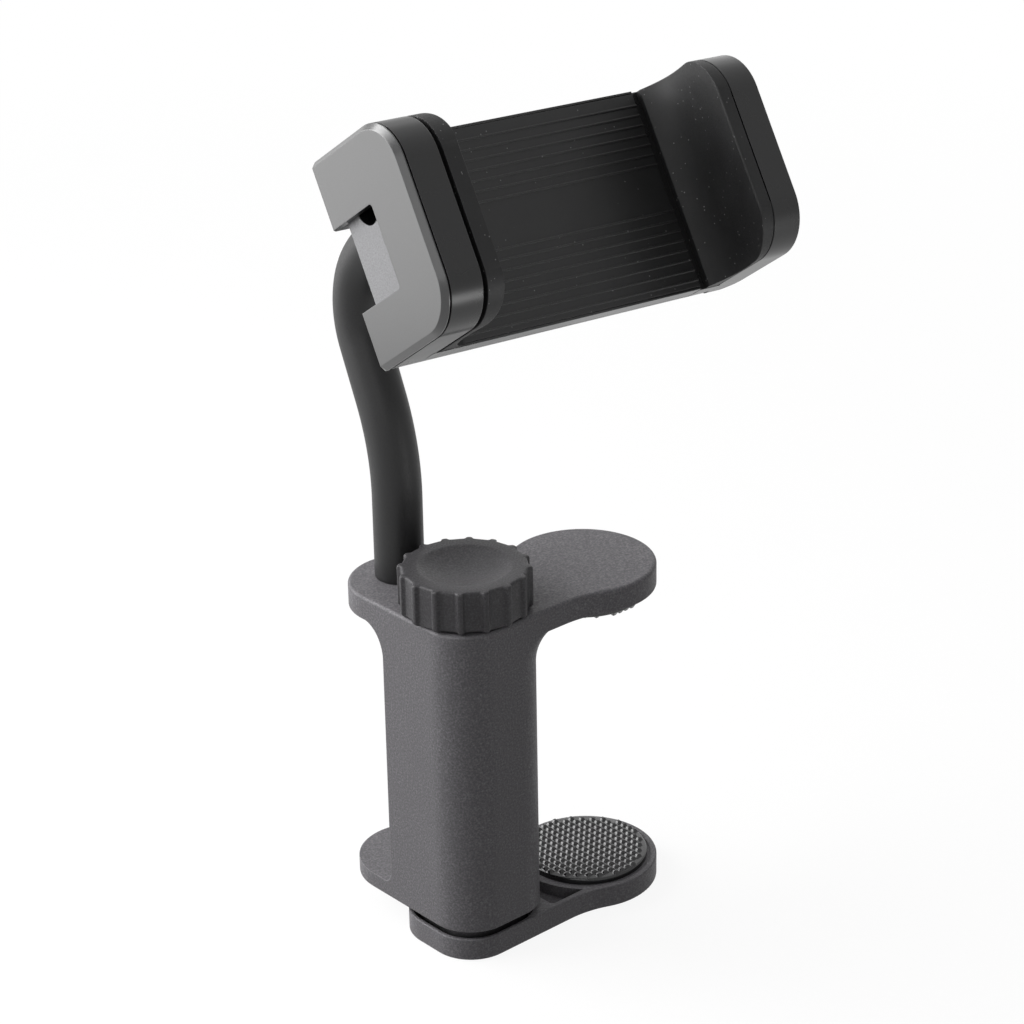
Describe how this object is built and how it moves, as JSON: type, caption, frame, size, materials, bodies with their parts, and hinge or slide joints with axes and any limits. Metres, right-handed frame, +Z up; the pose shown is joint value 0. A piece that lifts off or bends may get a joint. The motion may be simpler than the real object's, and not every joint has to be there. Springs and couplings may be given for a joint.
{
  "type": "guitar phone holder",
  "caption": "Phone clip with a spring jaw on a bendable neck, held by a screw clamp with round padded jaws that grips a guitar body.",
  "frame": {"origin": "underside of the lower jaw, on the axis of the clamp screw", "axes": "+Z up along the clamp screw, +X along the reach of the clamp's jaws, +Y towards the neck's seat"},
  "size_m": [0.1024, 0.1048, 0.2114],
  "materials": {
    "charcoal_plastic": "fine grain",
    "black_plastic": "satin",
    "rubber": "matte",
    "neck_skin": "matte",
    "steel": "bright",
    "black_steel": "blackened",
    "brass": "turned"
  },
  "bodies": {
    "jaw": {"lower_jaw": "charcoal_plastic", "stem_nut": "brass", "lower_pad": "rubber"},
    "clamp": {"clamp_body": "charcoal_plastic", "upper_pad": "rubber", "thrust_washer": "steel", "neck_sleeve": "neck_skin", "neck_core": "steel", "neck_foot": "steel", "neck_screw": "black_steel"},
    "knob_screw": {"knob": "charcoal_plastic", "lead_screw": "steel", "screw_clip": "steel"},
    "neck_end": {"ball_stud": "black_steel"},
    "cup": {"ball_socket": "black_plastic", "lock_ring": "black_plastic", "pivot_screw": "steel", "pivot_washer": "steel"},
    "clip": {"clip_frame": "black_plastic", "end_plate": "black_plastic", "back_cover": "black_plastic", "bed_pad": "rubber", "fixed_jaw_pad": "rubber", "spring_1": "steel", "spring_2": "steel", "spring_rod_1": "steel", "spring_rod_2": "steel", "cover_screw_1": "black_steel", "cover_screw_2": "black_steel", "cover_screw_3": "black_steel", "cover_screw_4": "black_steel"},
    "slide_jaw": {"moving_jaw": "black_plastic", "moving_jaw_pad": "rubber", "slider": "black_plastic"}
  },
  "joints": [
    {"name": "knob_turn", "type": "hinge", "parent": "clamp", "child": "knob_screw", "pos_m": [0, 0, 0.0829], "axis": [0, 0, 1], "range_deg": [0, 5401]},
    {"name": "jaw_slide", "type": "slide", "parent": "jaw", "child": "clamp", "axis": [0, 0, 1], "range_m": [0, 0.045]},
    {"name": "neck_bend", "type": "hinge", "parent": "clamp", "child": "neck_end", "pos_m": [0.00076, 0.03317, 0.13577], "axis": [0.9973, -0.0729, 0], "range_deg": [-30, 30], "deforming": ["neck_sleeve", "neck_core"]},
    {"name": "ball_tilt", "type": "hinge", "parent": "neck_end", "child": "cup", "pos_m": [-0.00285, -0.01625, 0.17156], "axis": [0.9973, -0.0729, 0], "range_deg": [-9, 68]},
    {"name": "clip_spin", "type": "hinge", "parent": "cup", "child": "clip", "pos_m": [-0.00285, -0.01625, 0.17156], "axis": [-0.0598, -0.8187, 0.5711], "continuous": true},
    {"name": "clip_slide", "type": "slide", "parent": "clip", "child": "slide_jaw", "axis": [0.9946, -0.0977, -0.0358], "range_m": [0, 0.024], "stiffness_N_per_m": 290, "springref_m": -0.018, "deforming": ["spring_1", "spring_2"]}
  ],
  "couplings": [
    {"joint": "knob_turn", "follows": "jaw_slide", "rad_per_m": 2094.4}
  ]
}
